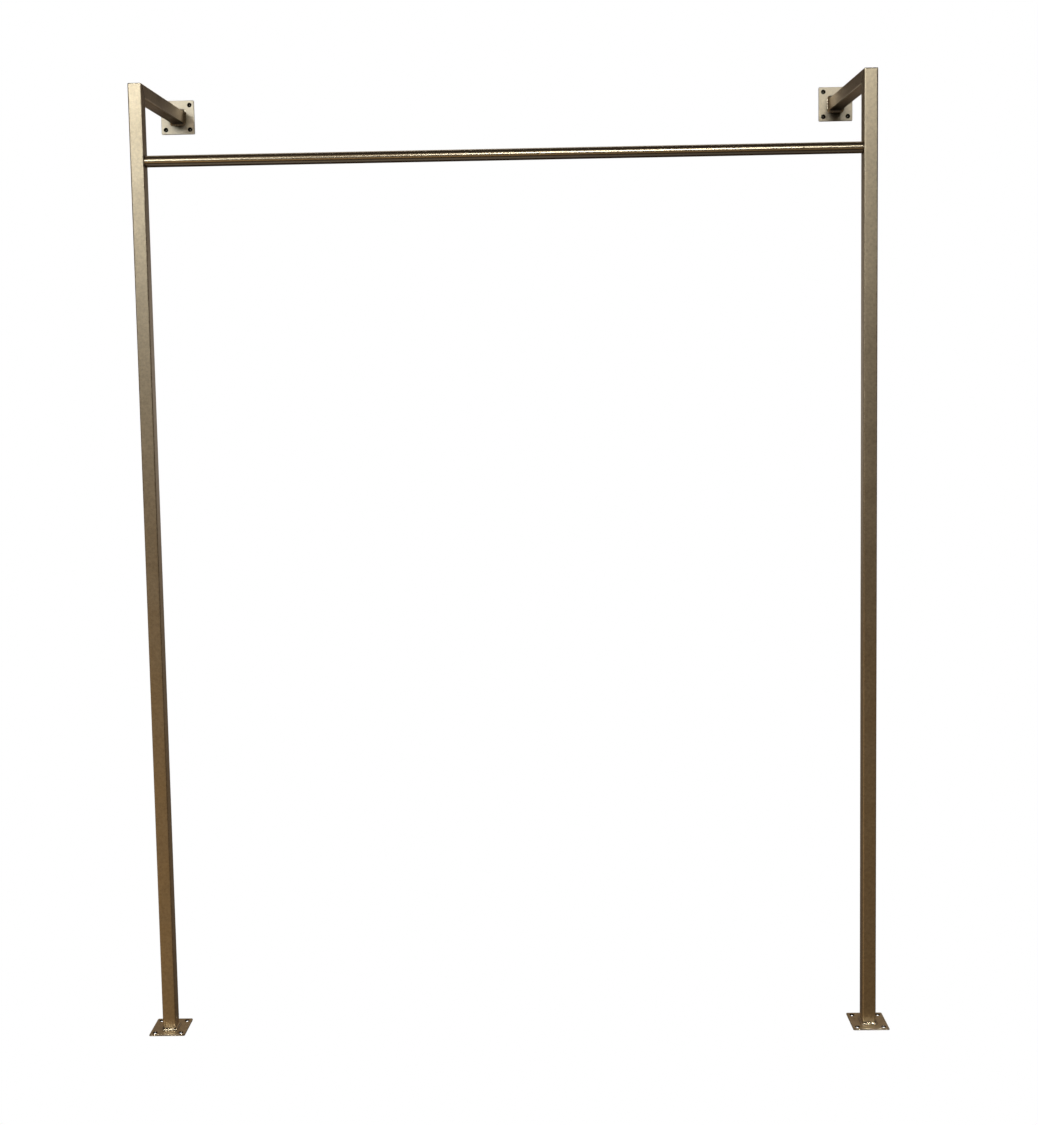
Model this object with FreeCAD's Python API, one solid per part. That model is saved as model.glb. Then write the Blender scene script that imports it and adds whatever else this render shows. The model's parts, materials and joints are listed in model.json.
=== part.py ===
import FreeCAD, Part
import math
import os

# Garment rail frame for a wall and a floor.  Two side frames stand in front of a wall, each a
# square-tube post and a square-tube arm mitred together at the top.  The post stands on a floor
# plate and the arm ends in a wall plate.  One round rail joins the posts below the arms.
#
# Frame: +X to the right, +Y toward the wall, +Z up.  The origin is on the floor, at the middle of
# the overall width and depth.  Every length is in millimetres.

V = FreeCAD.Vector

# ---- driving dimensions ------------------------------------------------------------------------

WIDTH = 1600.0           # outside of one post to outside of the other
HEIGHT = 2100.0          # floor to the top of posts and arms
DEPTH = 400.0            # wall to the front edge of the floor plates
RAIL_HEIGHT = 1935.0     # floor to the rail's centre line

TUBE = 30.0              # side of the square tube
TUBE_WALL = 2.0
TUBE_CORNER = 3.0        # outside corner radius of the square tube

RAIL_DIAMETER = 25.0
RAIL_WALL = 1.5
RAIL_END_CHAMFER = 0.4

PLATE = 80.0             # side of every fixing plate
PLATE_THICKNESS = 3.0
PLATE_CORNER = 3.0       # corner radius in the plane of the plate
PLATE_EDGE = 1.2         # rounding of the exposed face's edge
HOLE_SPACING = 58.0      # between hole centres, both ways
HOLE_DIAMETER = 6.0      # clearance for a 5 mm screw
SINK_DIAMETER = 10.8     # countersink at the exposed face

FLOOR_WELD_LEG = 4.0     # leg of the fillet weld round a post's foot
WALL_WELD_LEG = 5.0      # leg of the fillet weld round an arm's root
WELD_BULGE = 0.45        # how far a fillet weld's face stands out from a flat face
SEAM_WIDTH = 1.2         # weld metal in the mitre, ground flush
CORNER_ROUNDING = 2.0    # the ground outer edge where post and arm meet

SCREW_DIAMETER = 8.0
SCREW_LENGTH = 50.0      # overall, with the countersunk head
SCREW_HEAD_DIAMETER = 16.0
SCREW_TIP_CHAMFER = 1.0
SOCKET_ACROSS_FLATS = 5.0
SOCKET_DEPTH = 2.9
SCREW_CLEARANCE = 8.5    # bore of the sleeve and of the post's inner wall
SLEEVE_DIAMETER = 16.0
PLUG_LENGTH = 25.0
PLUG_CHAMFER = 1.0

SIDES = {"left": -1.0, "right": 1.0}

# ---- positions worked out from them ------------------------------------------------------------

POST_X = WIDTH / 2 - TUBE / 2                        # post centre line, either side of the middle
WALL_Y = DEPTH / 2                                   # the wall
POST_Y = -DEPTH / 2 + PLATE / 2                      # post centre line
POST_FRONT_Y = POST_Y - TUBE / 2
ARM_Z = HEIGHT - TUBE / 2                            # arm centre line
ARM_END_Y = WALL_Y - PLATE_THICKNESS                 # where the arm meets its wall plate
RAIL_LENGTH = WIDTH - 2 * TUBE                       # between the posts' inner faces
TUBE_BORE = TUBE - 2 * TUBE_WALL
RAIL_BORE = RAIL_DIAMETER - 2 * RAIL_WALL
HEAD_HEIGHT = (SCREW_HEAD_DIAMETER - SCREW_DIAMETER) / 2   # a 90 degree cone


# ---- building blocks ---------------------------------------------------------------------------

def is_along(edge, direction):
    """True for a straight edge that runs along a direction."""
    straight = isinstance(edge.Curve, Part.Line)
    return straight and edge.tangentAt(edge.FirstParameter).cross(direction).Length < 1e-6


def square_bar(side, corner, length):
    """Square bar with rounded corners, centred on the Z axis and standing on z = 0."""
    bar = Part.makeBox(side, side, length, V(-side / 2, -side / 2, 0))
    return bar.makeFillet(corner, [edge for edge in bar.Edges if is_along(edge, V(0, 0, 1))])


def square_tube(length):
    """Square tube centred on the Z axis and standing on z = 0."""
    bore = square_bar(TUBE_BORE, TUBE_CORNER - TUBE_WALL, length)
    return square_bar(TUBE, TUBE_CORNER, length).cut(bore)


def countersink(head_diameter, hole_diameter, length):
    """Cutter for a 90 degree countersunk hole that goes down from z = 0."""
    depth = (head_diameter - hole_diameter) / 2
    cone = Part.makeCone(hole_diameter / 2, head_diameter / 2, depth, V(0, 0, -depth))
    return cone.fuse(Part.makeCylinder(hole_diameter / 2, length, V(0, 0, -length)))


def hexagon(across_flats, z):
    """Closed regular hexagon around the Z axis."""
    corner_radius = across_flats / 2 / math.cos(math.tau / 12)
    turns = [math.tau * corner / 6 for corner in range(7)]
    return Part.makePolygon(
        [V(corner_radius * math.cos(turn), corner_radius * math.sin(turn), z) for turn in turns]
    )


def along_x(shape, x, side):
    """Turn a shape that points up to point outward along X, with its z = 0 at the given x."""
    turned = shape.copy()
    turned.rotate(V(0, 0, 0), V(0, 1, 0), 90.0 * side)
    turned.translate(V(side * x, POST_Y, RAIL_HEIGHT))
    return turned


def on_wall(shape, side):
    """Turn a shape that stands on z = 0 to stand out of the wall at the end of an arm."""
    turned = shape.copy()
    turned.rotate(V(0, 0, 0), V(1, 0, 0), 90)
    turned.translate(V(side * POST_X, WALL_Y, ARM_Z))
    return turned


def on_floor(shape, side):
    """Move a shape that stands on z = 0 to the foot of a post."""
    moved = shape.copy()
    moved.translate(V(side * POST_X, POST_Y, 0))
    return moved


# ---- side frames: post, arm and the seam between them ------------------------------------------

def beyond_mitre(offset):
    """Everything on the arm's side of the mitre plane, which is moved by an offset toward the arm."""
    reach = DEPTH * 2
    block = Part.makeBox(2 * reach, 2 * reach, reach, V(-reach, -reach, offset))
    block.rotate(V(0, 0, 0), V(1, 0, 0), -45)
    block.translate(V(0, POST_FRONT_Y, HEIGHT))
    return block


def ground_corner():
    """Envelope of a side frame whose top front edge is ground round."""
    envelope = Part.makeBox(TUBE, WALL_Y - POST_FRONT_Y, HEIGHT, V(-TUBE / 2, POST_FRONT_Y, 0))
    top_front = [
        edge for edge in envelope.Edges
        if is_along(edge, V(1, 0, 0))
        and edge.CenterOfMass.z > HEIGHT / 2
        and edge.CenterOfMass.y < POST_Y
    ]
    return envelope.makeFillet(CORNER_ROUNDING, top_front)


def bent_tube():
    """Post and arm as one mitred tube in the plane x = 0."""
    post = square_tube(HEIGHT - PLATE_THICKNESS)
    post.translate(V(0, POST_Y, PLATE_THICKNESS))
    arm = square_tube(ARM_END_Y - POST_FRONT_Y)
    arm.rotate(V(0, 0, 0), V(1, 0, 0), 90)
    arm.translate(V(0, ARM_END_Y, ARM_Z))
    arm_side = beyond_mitre(0)
    return post.cut(arm_side).fuse(arm.common(arm_side)).common(ground_corner())


def post(side):
    """Post with the countersunk hole of the rail's screw on its outer side."""
    tube = bent_tube().cut(beyond_mitre(-SEAM_WIDTH / 2))
    tube.translate(V(side * POST_X, 0, 0))
    return tube.cut(along_x(screw_hole(), WIDTH / 2, side))


def arm(side):
    tube = bent_tube().common(beyond_mitre(SEAM_WIDTH / 2))
    tube.translate(V(side * POST_X, 0, 0))
    return tube


def corner_weld(side):
    """Weld metal that fills the mitre between post and arm."""
    slab = beyond_mitre(-SEAM_WIDTH / 2).cut(beyond_mitre(SEAM_WIDTH / 2))
    seam = bent_tube().common(slab)
    seam.translate(V(side * POST_X, 0, 0))
    return seam


# ---- fixing plates and their fillet welds ------------------------------------------------------

def plate():
    """Square plate on z = 0 with four countersunk holes in its upper face."""
    blank = square_bar(PLATE, PLATE_CORNER, PLATE_THICKNESS)
    upper_face = max(blank.Faces, key=lambda face: face.CenterOfMass.z)
    blank = blank.makeFillet(PLATE_EDGE, upper_face.Edges)
    for x in (-HOLE_SPACING / 2, HOLE_SPACING / 2):
        for y in (-HOLE_SPACING / 2, HOLE_SPACING / 2):
            hole = countersink(SINK_DIAMETER, HOLE_DIAMETER, PLATE_THICKNESS)
            hole.translate(V(x, y, PLATE_THICKNESS))
            blank = blank.cut(hole)
    return blank


def fillet_weld(leg):
    """Fillet weld around a square tube that stands on a plate lying on z = 0."""
    foot = square_bar(TUBE, TUBE_CORNER, TUBE)
    lower_face = min(foot.Faces, key=lambda face: face.CenterOfMass.z)
    path = Part.Wire(Part.__sortEdges__(lower_face.Edges))
    start = path.OrderedVertexes[0].Point
    along = path.OrderedEdges[0].tangentAt(path.OrderedEdges[0].FirstParameter)
    up = V(0, 0, 1)
    out = along.cross(up)
    if out.dot(start) < 0:
        out = -out
    toe = start + out * leg
    crown = start + up * leg
    bulge = (toe + crown) / 2 + (out + up).normalize() * WELD_BULGE
    profile = Part.Wire([
        Part.makeLine(start, toe),
        Part.Arc(toe, bulge, crown).toShape(),
        Part.makeLine(crown, start),
    ])
    sweep = Part.BRepOffsetAPI.MakePipeShell(path)
    sweep.setBiNormalMode(up)
    sweep.add(profile)
    sweep.build()
    sweep.makeSolid()
    weld = sweep.shape()
    weld.translate(V(0, 0, PLATE_THICKNESS))
    return weld


# ---- rail and its fixings ----------------------------------------------------------------------

def screw_hole():
    """Cutter for the rail's screw through a post, going down from the outer face at z = 0."""
    return countersink(SCREW_HEAD_DIAMETER, SCREW_CLEARANCE, TUBE)


def rail():
    outer = Part.makeCylinder(RAIL_DIAMETER / 2, RAIL_LENGTH)
    rims = [edge for edge in outer.Edges if isinstance(edge.Curve, Part.Circle)]
    tube = outer.makeChamfer(RAIL_END_CHAMFER, rims)
    tube = tube.cut(Part.makeCylinder(RAIL_BORE / 2, RAIL_LENGTH))
    return along_x(tube, -RAIL_LENGTH / 2, SIDES["right"])


def rail_plug(side):
    """Steel plug in the rail's end, drilled through for the screw's thread."""
    plug = Part.makeCylinder(RAIL_BORE / 2, PLUG_LENGTH, V(0, 0, -PLUG_LENGTH))
    inner_rim = [
        edge for edge in plug.Edges
        if isinstance(edge.Curve, Part.Circle) and edge.CenterOfMass.z < -PLUG_LENGTH / 2
    ]
    plug = plug.makeChamfer(PLUG_CHAMFER, inner_rim)
    plug = plug.cut(Part.makeCylinder(SCREW_DIAMETER / 2, PLUG_LENGTH, V(0, 0, -PLUG_LENGTH)))
    return along_x(plug, RAIL_LENGTH / 2, side)


def post_sleeve(side):
    """Spacer inside the post that keeps the tube's walls apart and seats the screw's head."""
    sleeve = Part.makeCylinder(SLEEVE_DIAMETER / 2, TUBE_BORE, V(0, 0, -TUBE_BORE - TUBE_WALL))
    return along_x(sleeve.cut(screw_hole()), WIDTH / 2, side)


def rail_screw(side):
    """Countersunk screw with a hexagon socket, flush with the post's outer face."""
    shank = Part.makeCylinder(SCREW_DIAMETER / 2, SCREW_LENGTH, V(0, 0, -SCREW_LENGTH))
    tip_rim = [
        edge for edge in shank.Edges
        if isinstance(edge.Curve, Part.Circle) and edge.CenterOfMass.z < -SCREW_LENGTH / 2
    ]
    shank = shank.makeChamfer(SCREW_TIP_CHAMFER, tip_rim)
    head = Part.makeCone(
        SCREW_DIAMETER / 2, SCREW_HEAD_DIAMETER / 2, HEAD_HEIGHT, V(0, 0, -HEAD_HEIGHT)
    )
    socket = Part.Face(hexagon(SOCKET_ACROSS_FLATS, -SOCKET_DEPTH)).extrude(V(0, 0, SOCKET_DEPTH))
    return along_x(shank.fuse(head).removeSplitter().cut(socket), WIDTH / 2, side)


# ---- the object --------------------------------------------------------------------------------

def build():
    """Every node of the object by name."""
    nodes = {"rail": rail()}
    for name, side in SIDES.items():
        nodes[f"{name}_post"] = post(side)
        nodes[f"{name}_arm"] = arm(side)
        nodes[f"{name}_corner_weld"] = corner_weld(side)
        nodes[f"{name}_floor_plate"] = on_floor(plate(), side)
        nodes[f"{name}_floor_weld"] = on_floor(fillet_weld(FLOOR_WELD_LEG), side)
        nodes[f"{name}_wall_plate"] = on_wall(plate(), side)
        nodes[f"{name}_wall_weld"] = on_wall(fillet_weld(WALL_WELD_LEG), side)
        nodes[f"{name}_rail_plug"] = rail_plug(side)
        nodes[f"{name}_post_sleeve"] = post_sleeve(side)
        nodes[f"{name}_rail_screw"] = rail_screw(side)
    return nodes


os.makedirs("parts", exist_ok=True)
for node, shape in build().items():
    shape.exportStep(f"parts/{node}.step")
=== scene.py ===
import json
import math
import random

import bmesh
import bpy
from mathutils import Matrix, Vector

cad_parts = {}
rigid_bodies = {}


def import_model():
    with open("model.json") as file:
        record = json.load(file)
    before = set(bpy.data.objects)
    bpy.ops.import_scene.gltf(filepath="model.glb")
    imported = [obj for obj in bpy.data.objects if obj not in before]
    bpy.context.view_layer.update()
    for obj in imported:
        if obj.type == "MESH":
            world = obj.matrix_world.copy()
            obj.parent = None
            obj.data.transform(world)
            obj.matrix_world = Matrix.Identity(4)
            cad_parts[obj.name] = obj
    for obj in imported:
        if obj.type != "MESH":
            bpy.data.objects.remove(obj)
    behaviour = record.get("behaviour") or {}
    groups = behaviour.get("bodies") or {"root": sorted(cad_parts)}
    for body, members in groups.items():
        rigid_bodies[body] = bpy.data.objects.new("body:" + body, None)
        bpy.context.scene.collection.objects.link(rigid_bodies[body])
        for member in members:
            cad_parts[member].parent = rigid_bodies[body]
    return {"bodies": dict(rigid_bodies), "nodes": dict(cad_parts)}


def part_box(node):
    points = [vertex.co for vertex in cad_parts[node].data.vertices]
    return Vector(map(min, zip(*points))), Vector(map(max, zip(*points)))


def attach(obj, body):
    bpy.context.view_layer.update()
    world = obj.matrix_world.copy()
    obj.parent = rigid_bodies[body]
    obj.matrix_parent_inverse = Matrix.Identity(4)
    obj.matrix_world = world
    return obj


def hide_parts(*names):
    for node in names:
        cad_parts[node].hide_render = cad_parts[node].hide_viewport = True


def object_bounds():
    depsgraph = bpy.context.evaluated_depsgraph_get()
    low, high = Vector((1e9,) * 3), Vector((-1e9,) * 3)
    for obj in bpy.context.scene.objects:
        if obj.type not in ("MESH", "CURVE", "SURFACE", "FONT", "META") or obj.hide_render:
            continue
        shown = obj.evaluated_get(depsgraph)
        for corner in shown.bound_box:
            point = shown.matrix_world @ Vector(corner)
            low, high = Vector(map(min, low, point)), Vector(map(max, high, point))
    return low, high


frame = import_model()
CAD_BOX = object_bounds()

# Looks of the garment rail frame: the metallic powder coat, the rippled weld beads, the bare steel
# of the hidden fixings, a pale floor, the room that the metal reflects, lights and the camera.
# Every length is in metres.

MM = 0.001
SIDES = ("left", "right")
BODY = next(iter(frame["bodies"]))
WALL_Y = CAD_BOX[1][1]

# ---- camera ------------------------------------------------------------------------------------

CAMERA_PLACE = Vector((0.0732, -3.3077, 1.5168))
CAMERA_TURN = math.radians(1.104)      # to the left, about the vertical
CAMERA_TILT = math.radians(-4.573)     # below the horizon
CAMERA_ROLL = math.radians(-0.997)
CAMERA_LENS = 46.27                    # mm on a 36 mm sensor
CAMERA_SHIFT = (0.0047, -0.0863)

# ---- the room that the metal reflects ----------------------------------------------------------

DARK = (0.022, 0.016, 0.012)
PALE_FLOOR = (0.19, 0.18, 0.17)
WARM_FLOOR = (0.31, 0.21, 0.10)
WARM_SHADE = (0.12, 0.09, 0.06)
WARM_WALL = (0.17, 0.12, 0.07)
CREAM_WALL = (0.40, 0.31, 0.21)
PALE_WALL = (0.33, 0.31, 0.29)

# (degrees above the horizon, colour), from below the object to above it
ROOM_IN_FRONT = (
    (-90, PALE_FLOOR), (-50, DARK), (-33, DARK), (-27, WARM_FLOOR), (-16, WARM_FLOOR), (-9, DARK),
    (14, DARK), (22, WARM_WALL), (34, WARM_WALL), (42, DARK),
)
ROOM_BEHIND = (
    (-30, DARK), (-20, WARM_SHADE), (-9, WARM_SHADE), (-5, PALE_WALL), (4, PALE_WALL),
    (6, DARK), (19, DARK), (23, CREAM_WALL), (34, CREAM_WALL), (40, DARK),
)
ROOM_LEFT = 1.4                        # brightness of the room in front, on the left
ROOM_RIGHT = 0.5                       # and on the right

# ---- places that the lights face ---------------------------------------------------------------

LEFT_POST_TOP = (-0.785, -0.16, 2.0)
RAIL_RIGHT_PART = (0.5, -0.16, 2.0)
LEFT_FOOT = (-0.785, -0.36, 0)
RIGHT_FOOT = (0.785, -0.36, 0)
MIDDLE_OF_FLOOR = (0, -0.2, 0)

COOL_DAYLIGHT = (0.94, 1, 0.98)
DAYLIGHT = (0.97, 1, 0.95)
LAMPLIGHT = (1, 0.97, 0.86)
WHITE = (1, 1, 1)

# ---- coat --------------------------------------------------------------------------------------

DEEP_TONE = (0.54, 0.435, 0.31, 1)     # patches of the mottling
LIGHT_TONE = (0.76, 0.63, 0.46, 1)
FLAKE_TONE = (0.93, 0.82, 0.64, 1)
CLOUD_TONE = (0.50, 0.40, 0.28, 1)
# lighter tone of convex edges: rubbed wear and a painted highlight
RUBBED_AND_HIGHLIGHT_TONE = (0.90, 0.80, 0.64, 1)
PALE_TONE = (0.90, 0.84, 0.74, 1)

FLAKES_PER_METRE = 450
PEEL_PER_METRE = 380
MOTTLES_PER_METRE = 150
SMEARS_PER_METRE = 14
CLOUDS_PER_METRE = 6
EDGE_REACH = 1.2 * MM                  # how far rubbed edges reach in from a convex edge
EDGE_POLISH = 0.18                     # how much less rough rubbed edges are
PEEL_HEIGHT = 0.15 * MM

COARSE = 0.45                          # grain of the coat on tubes and plates

# where the light comes from that casts an arm's shadow on its wall plate
SKY_OVER_LEFT_PLATE = (-0.45, -0.6, 0.7)
SKY_OVER_RIGHT_PLATE = (0.10, -0.5, 0.85)
SHADOW_REACH = 90 * MM

UNDERSIDE_DARKENS = 260 * MM           # from this distance to the wall the arms' undersides darken
UNDERSIDE_DARK = 20 * MM               # and here they are darkest

# ---- screw holes of the plates -----------------------------------------------------------------

HOLE_SPACING = 58 * MM
HOLE_DIAMETER = 6.0 * MM
SINK_DIAMETER = 10.8 * MM
FLOOR_SINK_SHADE = 0.06                # how dark the countersinks are; 1 is not at all
WALL_SINK_SHADE = 0.02
MASK_SOFTNESS = 0.04                   # half the width of a mask's edge, per diameter
WALL_GAP = 0.3 * MM                    # between a wall plate's back and the drilled holes

# ---- welds -------------------------------------------------------------------------------------

TUBE_CORNER = 3.0 * MM                 # outside corner radius of the square tubes
RIPPLE_PITCH = 6.4 * MM                # length of one ripple along the bead
RIPPLE_STEPS = 14                      # rings of vertices in one ripple
RIPPLE_BOW = 0.15                      # how far a ripple's crest bows, in ripples
RIPPLE_SHOVE = 0.10                    # how far a ripple leans forward or back, in ripples
FACE_STEPS = 12                        # vertices across the bead's face
PENETRATION = 0.3 * MM                 # how far the bead bites into tube and plate
ROUND_FACE = 1.45                      # shape of the bead's face: 1 is a quarter round, 2 is flat
HOLLOW_FACE = 2.6                      # and above 2 it is hollow


# ---- shader building blocks --------------------------------------------------------------------

def add_node(tree, kind, inputs=None, **settings):
    """New shader node; an input's value is a number, a colour or another node's output."""
    node = tree.nodes.new(kind)
    for key, value in settings.items():
        setattr(node, key, value)
    for key, value in (inputs or {}).items():
        if isinstance(value, bpy.types.NodeSocket):
            tree.links.new(value, node.inputs[key])
        else:
            node.inputs[key].default_value = value
    return node


def node_tree(name):
    """New material with an empty node tree, and a function that adds nodes to it."""
    material = bpy.data.materials.new(name)
    material.use_nodes = True
    tree = material.node_tree
    tree.nodes.clear()

    def add(kind, inputs=None, **settings):
        return add_node(tree, kind, inputs, **settings)

    return material, add


def object_place(add):
    """Place in the object's own coordinates, which are those of the frame."""
    return add("ShaderNodeTexCoord").outputs["Object"]


def math_node(add, operation, first, second):
    return add("ShaderNodeMath", {0: first, 1: second}, operation=operation).outputs[0]


def vector_node(add, operation, first, second=(0, 0, 0)):
    node = add("ShaderNodeVectorMath", {0: first, 1: second}, operation=operation)
    return node.outputs["Vector"]


def scaled(add, colour, factor):
    node = add("ShaderNodeVectorMath", {0: colour, "Scale": factor}, operation="SCALE")
    return node.outputs["Vector"]


def mapped(add, value, low, high, to_low=0.0, to_high=1.0):
    """Map the range low to high to the range to_low to to_high, and clamp what is outside."""
    inputs = {"Value": value, "From Min": low, "From Max": high, "To Min": to_low, "To Max": to_high}
    return add("ShaderNodeMapRange", inputs).outputs["Result"]


def noise(add, place, scale, detail=4.0, roughness=0.55):
    """Noise from 0 to 1 whose features are about 1 / scale metres across."""
    inputs = {"Vector": place, "Scale": scale, "Detail": detail, "Roughness": roughness}
    return add("ShaderNodeTexNoise", inputs).outputs["Fac"]


def spread(add, value, low, high):
    """Map the middle of a 0 to 1 noise to the range low to high."""
    return mapped(add, value, 0.3, 0.7, low, high)


def blend(add, factor, first, second):
    """Mix of two colours."""
    node = add("ShaderNodeMix", {0: factor, 6: first, 7: second}, data_type="RGBA")
    return node.outputs[2]


def edge_mask(add, reach):
    """1 on convex edges, 0 on flat faces: how much of the inside lies near the surface."""
    inputs = {"Distance": reach}
    depth = add("ShaderNodeAmbientOcclusion", inputs, samples=4, inside=True, only_local=True)
    return mapped(add, depth.outputs["AO"], 0.95, 0.6)


def cavity_shade(add, reach, power):
    """1 in the open, falling to 0 in holes and inside corners, the faster the higher the power."""
    open_sky = add("ShaderNodeAmbientOcclusion", {"Distance": reach}, samples=6).outputs["AO"]
    return math_node(add, "POWER", open_sky, power)


def facing(add, axis, low, high):
    """0 on faces whose normal's X, Y or Z is below low, 1 where it is above high."""
    normal = add("ShaderNodeNewGeometry").outputs["Normal"]
    part = add("ShaderNodeSeparateXYZ", {"Vector": normal}).outputs[axis]
    return mapped(add, part, low, high)


def all_but_against(add, axis):
    """0 on faces that look against an axis, such as an underside for Z, and 1 on all others."""
    return facing(add, axis, -0.8, -0.2)


def arm_shadow(add, sky):
    """Soft shadow of the arm on the front of a wall plate, lit from the direction sky.

    The direction comes from a node because the occlusion ignores a typed-in one."""
    direction = add("ShaderNodeCombineXYZ", dict(zip("XYZ", sky))).outputs["Vector"]
    inputs = {"Distance": SHADOW_REACH, "Normal": direction}
    open_sky = add("ShaderNodeAmbientOcclusion", inputs, samples=8).outputs["AO"]
    lit = mapped(add, open_sky, 0.2, 0.65)
    return math_node(add, "MAXIMUM", lit, all_but_against(add, "Y"))


def hole_mask(add, plate, diameter, outside, inside):
    """One value within a diameter round the axes of a plate's four screw holes, another outside.

    The same plate on the other side is its mirror image, so one mask serves both."""
    low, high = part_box(plate)
    size = high - low
    middle = [abs(part) for part in (low + high) / 2]
    in_plane = [0.0 if length == min(size) else 1.0 for length in size]
    offset = vector_node(add, "ABSOLUTE", object_place(add))
    for centre in (middle, [HOLE_SPACING / 2] * 3):
        offset = vector_node(add, "SUBTRACT", offset, centre)
        offset = vector_node(add, "ABSOLUTE", offset)
    offset = vector_node(add, "MULTIPLY", offset, in_plane)
    away = add("ShaderNodeVectorMath", {0: offset}, operation="LENGTH").outputs["Value"]
    rim_start = (0.5 - MASK_SOFTNESS) * diameter
    rim_end = (0.5 + MASK_SOFTNESS) * diameter
    return mapped(add, away, rim_start, rim_end, inside, outside)


# ---- shades: functions that add the nodes of a coat's darkening ---------------------------------

def dark_hollows(reach, power):
    """Shade that only darkens holes and inside corners."""
    return lambda add: cavity_shade(add, reach, power)


def arm_shade(add):
    """The underside of an arm darkens towards the wall, where it mirrors the arm's own shadow."""
    along = add("ShaderNodeSeparateXYZ", {"Vector": object_place(add)}).outputs["Y"]
    below = mapped(add, along, WALL_Y - UNDERSIDE_DARKENS, WALL_Y - UNDERSIDE_DARK, 1.1, 0.05)
    return math_node(add, "MAXIMUM", below, all_but_against(add, "Z"))


def floor_plate_shade(add):
    """Darkened hollows and countersinks."""
    sinks = hole_mask(add, "left_floor_plate", SINK_DIAMETER, 1.0, FLOOR_SINK_SHADE)
    return math_node(add, "MULTIPLY", cavity_shade(add, 4 * MM, 1), sinks)


def wall_plate_shade(sky):
    """Shade with darkened hollows and countersinks and the arm's shadow, lit from the direction sky."""
    def shade(add):
        sinks = hole_mask(add, "left_wall_plate", SINK_DIAMETER, 1.0, WALL_SINK_SHADE)
        hollows = math_node(add, "MULTIPLY", cavity_shade(add, 7 * MM, 3), sinks)
        return math_node(add, "MULTIPLY", hollows, arm_shadow(add, sky))

    return shade


# ---- materials ---------------------------------------------------------------------------------

def coat_material(name, roughness, grain, shade, pale=0.0, dust=0.5):
    """Champagne metallic powder coat: flakes, orange peel, faint mottling, rubbed edges painted lighter
    as a painted highlight, and the painted shade that the function shade gives; pale takes colour out
    of it, and dust dulls the faces that look up."""
    material, add = node_tree(name)
    place = object_place(add)
    mottle = noise(add, place, MOTTLES_PER_METRE, detail=3, roughness=0.6)
    flakes = noise(add, place, FLAKES_PER_METRE, detail=3, roughness=0.7)
    clouds = noise(add, place, CLOUDS_PER_METRE, detail=3)
    peel = noise(add, place, PEEL_PER_METRE, detail=3)
    smears = noise(add, place, SMEARS_PER_METRE, detail=5)
    edges = edge_mask(add, EDGE_REACH)

    patches = spread(add, mottle, 0.5 - grain, 0.5 + grain)
    glitter = spread(add, flakes, 0.18 - 0.4 * grain, 0.18 + 0.4 * grain)
    tone = blend(add, patches, DEEP_TONE, LIGHT_TONE)
    tone = blend(add, glitter, tone, FLAKE_TONE)
    tone = blend(add, spread(add, clouds, 0.0, 0.15), tone, CLOUD_TONE)
    # convex edges painted lighter: rubbed wear and a painted highlight
    tone = blend(add, edges, tone, RUBBED_AND_HIGHLIGHT_TONE)
    tone = blend(add, pale, tone, PALE_TONE)
    tone = scaled(add, tone, shade(add))

    rough = spread(add, flakes, roughness - 0.07 * grain, roughness + 0.07 * grain)
    rough = math_node(add, "ADD", rough, spread(add, smears, -0.045 * grain, 0.065 * grain))
    polish = math_node(add, "MULTIPLY", edges, -EDGE_POLISH)
    rough = math_node(add, "ADD", rough, polish)

    height = math_node(add, "ADD", peel, flakes)
    bump = add("ShaderNodeBump", {"Height": height, "Strength": grain, "Distance": PEEL_HEIGHT})
    settled = math_node(add, "MULTIPLY", facing(add, "Z", 0.7, 0.98), -dust)
    metal = math_node(add, "ADD", settled, 1.0)
    shader = add("ShaderNodeBsdfPrincipled", {
        "Base Color": tone, "Metallic": metal, "Roughness": rough, "Normal": bump.outputs["Normal"],
    })
    add("ShaderNodeOutputMaterial", {"Surface": shader.outputs["BSDF"]})
    return material


def steel_material(name, colour, roughness, stretch):
    """Bare or zinc-plated steel with fine turning marks stretched by a vector."""
    material, add = node_tree(name)
    place = object_place(add)
    marks = noise(add, vector_node(add, "MULTIPLY", place, stretch), 900, detail=4)
    cloud = noise(add, place, 120, detail=3)
    dull = tuple(0.62 * part for part in colour)
    tone = blend(add, spread(add, cloud, 0.0, 0.5), (*colour, 1), (*dull, 1))
    rough = spread(add, marks, roughness - 0.06, roughness + 0.08)
    bump = add("ShaderNodeBump", {"Height": marks, "Strength": 0.25, "Distance": 0.05 * MM})
    shader = add("ShaderNodeBsdfPrincipled", {
        "Base Color": tone, "Metallic": 1.0, "Roughness": rough, "Normal": bump.outputs["Normal"],
    })
    add("ShaderNodeOutputMaterial", {"Surface": shader.outputs["BSDF"]})
    return material


def paint(node, material):
    for slot in frame["nodes"][node].material_slots:
        slot.material = material


# ---- weld beads --------------------------------------------------------------------------------

def square_path(side, corner):
    """Length of a rounded square's outline, and a function from a length along it to a place and
    the outward direction there, both in the plane z = 0."""
    straight = side - 2 * corner
    arc = math.pi / 2 * corner
    lap = straight + arc
    reach = side / 2

    def at(length):
        quarter, along = divmod(length, lap)
        turn = Matrix.Rotation(quarter * math.pi / 2, 3, "Z")
        if along < straight:
            place = Vector((reach, along - straight / 2, 0))
            out = Vector((1, 0, 0))
        else:
            angle = (along - straight) / corner
            out = Vector((math.cos(angle), math.sin(angle), 0))
            place = Vector((straight / 2, straight / 2, 0)) + corner * out
        return turn @ place, turn @ out

    return 4 * lap, at


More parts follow.
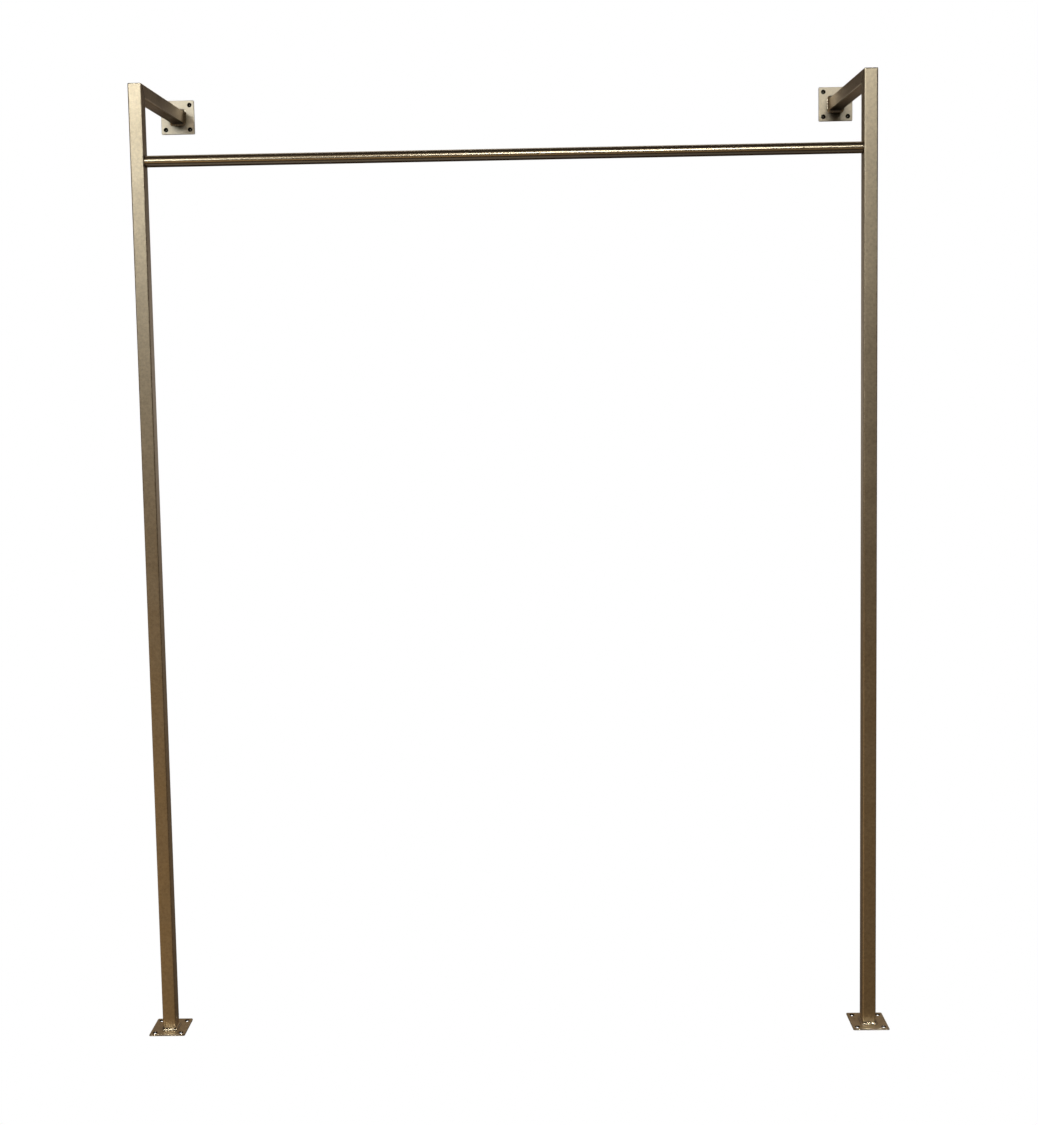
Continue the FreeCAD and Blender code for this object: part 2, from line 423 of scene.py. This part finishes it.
def weld_bead(name, side, leg, face, depth, seed):
    """Closed mesh of a fillet bead round a square tube that stands on z = 0.

    Each ripple is a scallop whose crest bows along the bead, as the weld pool leaves it.  Depth is
    how deep the valleys between ripples are, per leg, and the ripples' own sizes vary with it."""
    draw = random.Random(seed)
    total, at = square_path(side, TUBE_CORNER)
    ripples = round(total / RIPPLE_PITCH)
    swell = [draw.uniform(-1, 1) for _ in range(ripples)]
    shove = [draw.uniform(-RIPPLE_SHOVE, RIPPLE_SHOVE) for _ in range(ripples)]
    rings = ripples * RIPPLE_STEPS
    mesh = bmesh.new()
    loops = []
    for ring in range(rings):
        place, out = at(total * ring / rings)
        points = []
        for step in range(FACE_STEPS + 1):
            across = step / FACE_STEPS
            phase = ring / RIPPLE_STEPS + RIPPLE_BOW * (2 * across - 1) ** 2
            index = int(phase) % ripples
            phase += shove[index] * math.sin(math.pi * (phase % 1))
            scallop = abs(math.sin(math.pi * phase))
            lift = 1 + 0.5 * depth * swell[index] * scallop - depth * (1 - scallop) ** 2
            angle = math.pi / 2 * across
            reach_out = leg * lift * math.cos(angle) ** face
            reach_up = leg * lift * math.sin(angle) ** face
            points.append(place + out * reach_out + Vector((0, 0, reach_up)))
        crown = points[-1].z
        toe = (points[0] - place).dot(out)
        sunk = -PENETRATION
        points.append(place + out * sunk + Vector((0, 0, crown)))
        points.append(place + out * sunk + Vector((0, 0, sunk)))
        points.append(place + out * toe + Vector((0, 0, sunk)))
        loops.append([mesh.verts.new(point) for point in points])
    for ring in range(rings):
        near = loops[ring]
        far = loops[(ring + 1) % rings]
        for step in range(len(near)):
            after = (step + 1) % len(near)
            mesh.faces.new((near[step], far[step], far[after], near[after]))
    bmesh.ops.recalc_face_normals(mesh, faces=mesh.faces)
    piece = new_object(name, mesh)
    for polygon in piece.data.polygons:
        polygon.use_smooth = True
    return piece


def new_object(name, mesh):
    """Object in the scene that holds a bmesh's faces; the bmesh is used up."""
    data = bpy.data.meshes.new(name)
    mesh.to_mesh(data)
    mesh.free()
    piece = bpy.data.objects.new(name, data)
    bpy.context.scene.collection.objects.link(piece)
    return piece


def add_weld(side_name, where, material, face, depth, seed):
    """Rippled bead in the place of a plain CAD weld, standing up from a floor plate or out of a
    wall plate."""
    node = f"{side_name}_{where}_weld"
    low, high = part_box(node)
    size = high - low
    leg = min(size)
    side = max(size) - 2 * leg
    piece = weld_bead(f"{side_name}_{where}_bead", side, leg, face, depth, seed)
    middle = (low + high) / 2
    if where == "floor":
        place = Matrix.Translation((middle.x, middle.y, low.z))
    else:
        place = Matrix.Translation((middle.x, high.y, middle.z))
        place = place @ Matrix.Rotation(math.pi / 2, 4, "X")
    piece.data.transform(place)
    piece.data.materials.append(material)
    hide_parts(node)
    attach(piece, BODY)


# ---- stage, light and camera -------------------------------------------------------------------

def add_floor():
    """Pale seamless floor, white to the camera; a painted highlight glows brighter in the floor plates'
    screw holes.
    """
    mesh = bmesh.new()
    bmesh.ops.create_grid(mesh, x_segments=8, y_segments=8, size=30)
    floor = new_object("floor", mesh)
    floor.visible_glossy = False

    material, add = node_tree("pale_floor")
    cloud = noise(add, object_place(add), 1.5, detail=2)
    tone = blend(add, cloud, (0.80, 0.80, 0.79, 1), (0.84, 0.84, 0.83, 1))
    diffuse = add("ShaderNodeBsdfDiffuse", {"Color": tone}).outputs["BSDF"]
    # painted highlight: the floor glows brighter within the floor plates' screw holes
    hole_highlight_glow = hole_mask(add, "left_floor_plate", HOLE_DIAMETER + 1 * MM, 1.0, 2.6)
    glow = add("ShaderNodeEmission", {"Color": (*WHITE, 1), "Strength": hole_highlight_glow}).outputs[0]
    seen = add("ShaderNodeLightPath").outputs["Is Camera Ray"]
    surface = add("ShaderNodeMixShader", {0: seen, 1: diffuse, 2: glow}).outputs[0]
    add("ShaderNodeOutputMaterial", {"Surface": surface})
    floor.data.materials.append(material)


def drilled_hole_material():
    """Painted shade of a drilled hole, lighter in its middle; clear from behind."""
    material, add = node_tree("drilled_hole")
    grit = noise(add, object_place(add), 400)
    tone = blend(add, grit, (0.010, 0.008, 0.006, 1), (0.05, 0.04, 0.03, 1))
    # the painted shade is lighter in the hole's middle
    deep = hole_mask(add, "left_wall_plate", 0.4 * HOLE_DIAMETER, 0.0, 1.0)
    tone = blend(add, deep, tone, (0.32, 0.30, 0.27, 1))
    # the hole's painted shade, lighter in its middle
    dust = add("ShaderNodeBsdfDiffuse", {"Color": tone}).outputs["BSDF"]
    clear = add("ShaderNodeBsdfTransparent").outputs["BSDF"]
    back = add("ShaderNodeNewGeometry").outputs["Backfacing"]
    surface = add("ShaderNodeMixShader", {0: back, 1: dust, 2: clear}).outputs[0]
    add("ShaderNodeOutputMaterial", {"Surface": surface})
    return material


def add_wall_holes(side_name):
    """Painted shade of the drilled holes in the wall behind a wall plate's screw holes, seen from the
    front only.
    """
    low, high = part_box(f"{side_name}_wall_plate")
    middle = (low + high) / 2
    behind_plate = high.y + WALL_GAP
    mesh = bmesh.new()
    for across in (-HOLE_SPACING / 2, HOLE_SPACING / 2):
        for up in (-HOLE_SPACING / 2, HOLE_SPACING / 2):
            place = Matrix.Translation((middle.x + across, behind_plate, middle.z + up))
            place = place @ Matrix.Rotation(math.pi / 2, 4, "X")
            bmesh.ops.create_circle(
                mesh, cap_ends=True, segments=24, radius=SINK_DIAMETER / 2, matrix=place)
    holes = new_object(f"{side_name}_wall_holes", mesh)
    holes.data.materials.append(drilled_hole_material())


def elevation_ramp(tree, height, stops):
    """Colour by elevation: stops are (degrees above the horizon, colour), lowest first."""
    ramp = tree.nodes.new("ShaderNodeValToRGB")
    tree.links.new(height, ramp.inputs["Fac"])
    elements = ramp.color_ramp.elements
    while len(elements) < len(stops):
        elements.new(0.5)
    for element, (degrees, colour) in zip(elements, stops):
        element.position = (1 + math.sin(math.radians(degrees))) / 2
        element.color = (*colour, 1)
    return ramp.outputs["Color"]


def set_world():
    """White to the camera; to everything else a dim room in bands by elevation, one set of bands in
    front, brighter on the left, and one behind."""
    world = bpy.data.worlds.new("studio")
    bpy.context.scene.world = world
    world.use_nodes = True
    tree = world.node_tree
    tree.nodes.clear()

    def add(kind, inputs=None, **settings):
        return add_node(tree, kind, inputs, **settings)

    direction = add("ShaderNodeTexCoord").outputs["Generated"]
    split = add("ShaderNodeSeparateXYZ", {"Vector": direction}).outputs
    height = mapped(add, split["Z"], -1.0, 1.0)
    towards_wall = mapped(add, split["Y"], -0.2, 0.2)
    leftness = mapped(add, split["X"], 0.3, -0.3, ROOM_RIGHT, ROOM_LEFT)
    in_front = scaled(add, elevation_ramp(tree, height, ROOM_IN_FRONT), leftness)
    behind = elevation_ramp(tree, height, ROOM_BEHIND)
    room = blend(add, towards_wall, in_front, behind)
    room = add("ShaderNodeBackground", {"Color": room}).outputs[0]
    white = add("ShaderNodeBackground", {"Color": (*WHITE, 1)}).outputs[0]
    seen = add("ShaderNodeLightPath").outputs["Is Camera Ray"]
    mix = add("ShaderNodeMixShader", {0: seen, 1: room, 2: white}).outputs[0]
    add("ShaderNodeOutputWorld", {"Surface": mix})


def add_softbox(name, place, target, size, power, colour):
    """Rectangular light at a place, facing a target; size is its width and height."""
    light = bpy.data.lights.new(name, "AREA")
    light.shape = "RECTANGLE"
    light.size, light.size_y = size
    light.energy = power
    light.color = colour
    lamp = bpy.data.objects.new(name, light)
    bpy.context.scene.collection.objects.link(lamp)
    turn = (Vector(target) - Vector(place)).to_track_quat("-Z", "Y")
    lamp.matrix_world = Matrix.Translation(place) @ turn.to_matrix().to_4x4()
    lamp.visible_camera = False
    return lamp


def add_foot_lamp(name, place, foot, power):
    """Small lamp that lights a floor plate with a narrow fan of light, and nothing by bounces."""
    lamp = add_softbox(name, place, foot, (0.3, 0.3), power, LAMPLIGHT)
    lamp.data.spread = math.radians(60)
    lamp.data.cycles.max_bounces = 0


def add_camera():
    data = bpy.data.cameras.new("camera")
    data.sensor_width = 36
    data.lens = CAMERA_LENS
    data.shift_x, data.shift_y = CAMERA_SHIFT
    data.clip_end = 200
    camera = bpy.data.objects.new("camera", data)
    bpy.context.scene.collection.objects.link(camera)
    camera.matrix_world = (
        Matrix.Translation(CAMERA_PLACE)
        @ Matrix.Rotation(CAMERA_TURN, 4, "Z")
        @ Matrix.Rotation(math.pi / 2 + CAMERA_TILT, 4, "X")
        @ Matrix.Rotation(CAMERA_ROLL, 4, "Z")
    )
    bpy.context.scene.camera = camera


# ---- the object --------------------------------------------------------------------------------

coat = coat_material(
    "champagne_coat", roughness=0.37, grain=COARSE, shade=dark_hollows(5 * MM, 2))
# The arm and wall-plate coats are copies of the one coat painted paler as painted light: the arms a
# little, the wall plates more and the left one most.
arm_coat = coat_material(
    "champagne_coat_on_arms", roughness=0.37, grain=COARSE, shade=arm_shade, pale=0.1)
rail_coat = coat_material(
    "champagne_coat_on_rail", roughness=0.26, grain=0.06, shade=dark_hollows(5 * MM, 1))
foot_coat = coat_material(
    "champagne_coat_on_floor_plates", roughness=0.38, grain=COARSE, shade=floor_plate_shade, dust=0.03)
wall_coats = {
    "left": coat_material(
        "champagne_coat_on_left_wall_plate", roughness=0.43, grain=COARSE,
        shade=wall_plate_shade(SKY_OVER_LEFT_PLATE), pale=0.42),
    "right": coat_material(
        "champagne_coat_on_right_wall_plate", roughness=0.43, grain=COARSE,
        shade=wall_plate_shade(SKY_OVER_RIGHT_PLATE), pale=0.35),
}
bead_coat = coat_material(
    "champagne_coat_on_floor_welds", roughness=0.27, grain=0.03, shade=dark_hollows(2 * MM, 0.5), dust=0.0)
root_coat = coat_material(
    "champagne_coat_on_wall_welds", roughness=0.32, grain=0.10, shade=dark_hollows(7 * MM, 3))
turned_steel = steel_material(
    "turned_steel", colour=(0.56, 0.55, 0.53), roughness=0.38, stretch=(6, 1, 1))
zinc = steel_material("zinc_plate", colour=(0.66, 0.67, 0.68), roughness=0.30, stretch=(1, 1, 1))

for side_name in SIDES:
    paint(f"{side_name}_post", coat)
    paint(f"{side_name}_corner_weld", coat)
    paint(f"{side_name}_arm", arm_coat)
    paint(f"{side_name}_floor_plate", foot_coat)
    paint(f"{side_name}_wall_plate", wall_coats[side_name])
    paint(f"{side_name}_rail_plug", turned_steel)
    paint(f"{side_name}_post_sleeve", turned_steel)
    paint(f"{side_name}_rail_screw", zinc)
paint("rail", rail_coat)

add_weld("left", "floor", bead_coat, face=ROUND_FACE, depth=0.05, seed=11)
add_weld("right", "floor", bead_coat, face=ROUND_FACE, depth=0.26, seed=12)
add_weld("left", "wall", root_coat, face=HOLLOW_FACE, depth=0.28, seed=13)
add_weld("right", "wall", root_coat, face=HOLLOW_FACE, depth=0.22, seed=14)

add_floor()
for side_name in SIDES:
    add_wall_holes(side_name)
set_world()
add_softbox("window_left", (-2.7, -5.0, 3.35), LEFT_POST_TOP, (1.7, 1.1), 41, COOL_DAYLIGHT)
add_softbox("window_right", (0.65, -5.0, 3.7), RAIL_RIGHT_PART, (2.0, 0.5), 50, DAYLIGHT)
add_foot_lamp("lamp_left", (-1.9, -1.5, 2.8), LEFT_FOOT, 1.25)
add_foot_lamp("lamp_right", (1.9, -1.5, 2.8), RIGHT_FOOT, 3.4)
skylight = add_softbox("skylight", (0, -0.2, 5), MIDDLE_OF_FLOOR, (3, 2), 110, WHITE)
skylight.visible_glossy = False
add_camera()
bpy.context.scene.view_settings.view_transform = "Standard"
